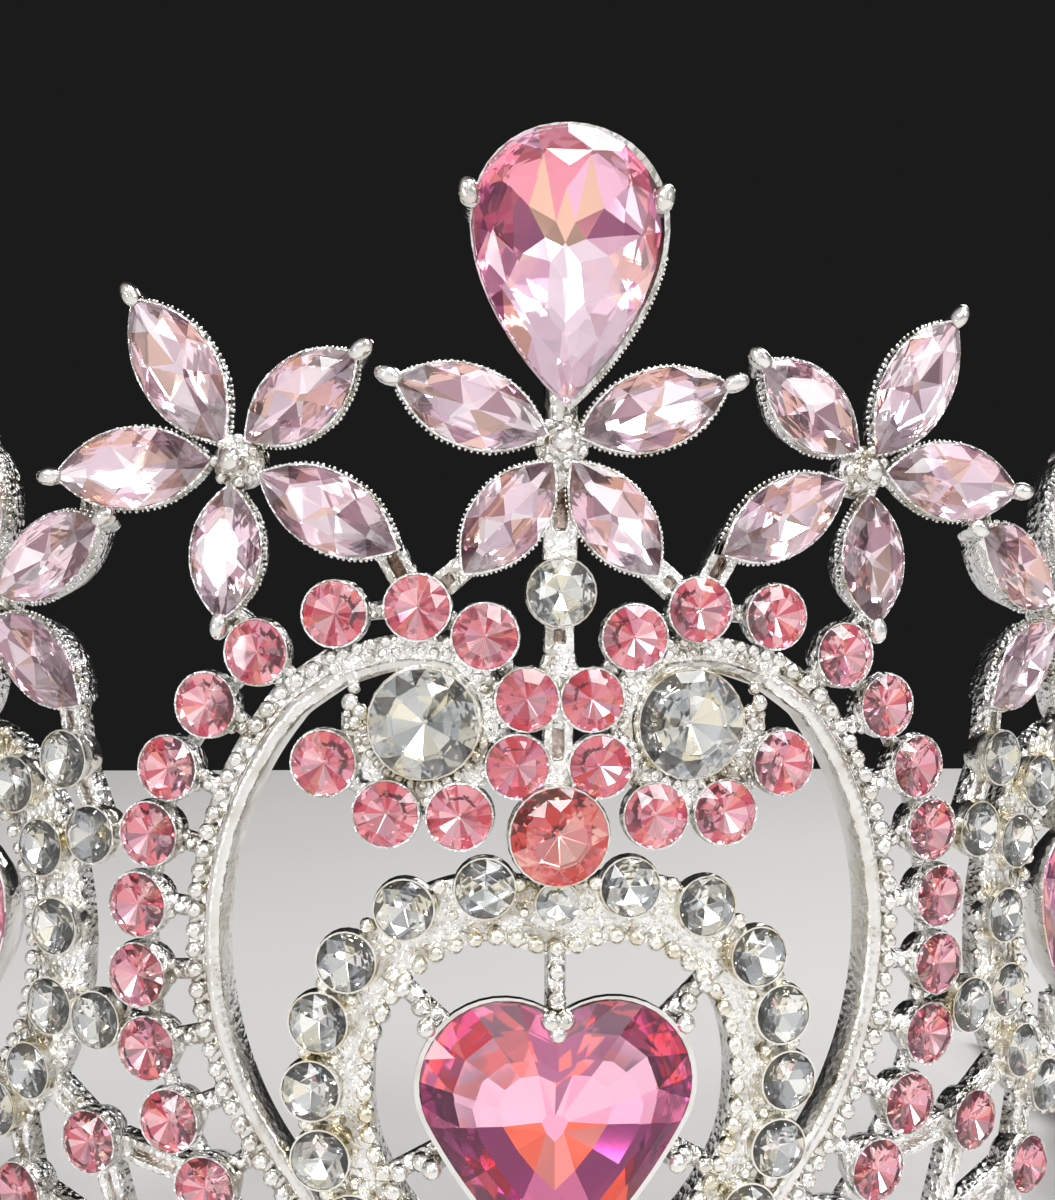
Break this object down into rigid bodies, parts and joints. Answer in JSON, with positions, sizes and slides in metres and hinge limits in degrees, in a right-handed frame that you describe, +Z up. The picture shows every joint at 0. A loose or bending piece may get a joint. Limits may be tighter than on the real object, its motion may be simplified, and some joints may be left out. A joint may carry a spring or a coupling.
{
  "type": "tiara",
  "caption": "Tall stage tiara with a heart scroll, flowers of pointed pink stones, a pink drop on top and a rose heart stone inside a clear halo.",
  "frame": {"origin": "the middle of the footprint's box, on the table that the base band stands on", "axes": "+Z up, -Y the front that is shown when it is worn, +X to the viewer's right when looking at the front"},
  "size_m": [0.1432, 0.0914, 0.0953],
  "materials": {
    "silver_plate": "bright silver plate over cast metal, fine grained in the hollows",
    "pale_pink_crystal": "faceted, foil backed",
    "pink_crystal": "faceted, foil backed",
    "rose_crystal": "faceted, foil backed",
    "coral_crystal": "faceted, foil backed",
    "clear_crystal": "faceted, foil backed"
  },
  "bodies": {
    "root": {"big_clear_left": "clear_crystal", "big_clear_right": "clear_crystal", "centre_petal_lower_left": "pale_pink_crystal", "centre_petal_lower_right": "pale_pink_crystal", "centre_petal_upper_left": "pale_pink_crystal", "centre_petal_upper_right": "pale_pink_crystal", "coral_round": "coral_crystal", "drop_1_left": "pink_crystal", "drop_1_right": "pink_crystal", "drop_2_left": "pink_crystal", "drop_2_right": "pink_crystal", "drop_3_left": "pink_crystal", "drop_3_right": "pink_crystal", "far_petal_high_left": "pale_pink_crystal", "far_petal_high_right": "pale_pink_crystal", "far_petal_inner_left": "pale_pink_crystal", "far_petal_inner_low_left": "pale_pink_crystal", "far_petal_inner_low_right": "pale_pink_crystal", "far_petal_inner_right": "pale_pink_crystal", "far_petal_low_left": "pale_pink_crystal", "far_petal_low_right": "pale_pink_crystal", "far_petal_outer_left": "pale_pink_crystal", "far_petal_outer_right": "pale_pink_crystal", "frame": "silver_plate", "heart": "rose_crystal", "heart_1_left": "pink_crystal", "heart_1_right": "pink_crystal", "heart_2_left": "pink_crystal", "heart_2_right": "pink_crystal", "pear": "pink_crystal", "side_pear_left": "pink_crystal", "side_pear_right": "pink_crystal", "side_petal_inner_high_left": "pale_pink_crystal", "side_petal_inner_high_right": "pale_pink_crystal", "side_petal_inner_low_left": "pale_pink_crystal", "side_petal_inner_low_right": "pale_pink_crystal", "side_petal_low_left": "pale_pink_crystal", "side_petal_low_right": "pale_pink_crystal", "side_petal_outer_high_left": "pale_pink_crystal", "side_petal_outer_high_right": "pale_pink_crystal", "side_petal_outer_left": "pale_pink_crystal", "side_petal_outer_right": "pale_pink_crystal", "small_clear": "clear_crystal", "top_1_left": "pink_crystal", "top_1_right": "pink_crystal", "top_2_left": "pink_crystal", "top_2_right": "pink_crystal", "top_3_left": "pink_crystal", "top_3_right": "pink_crystal"}
  },
  "joints": []
}
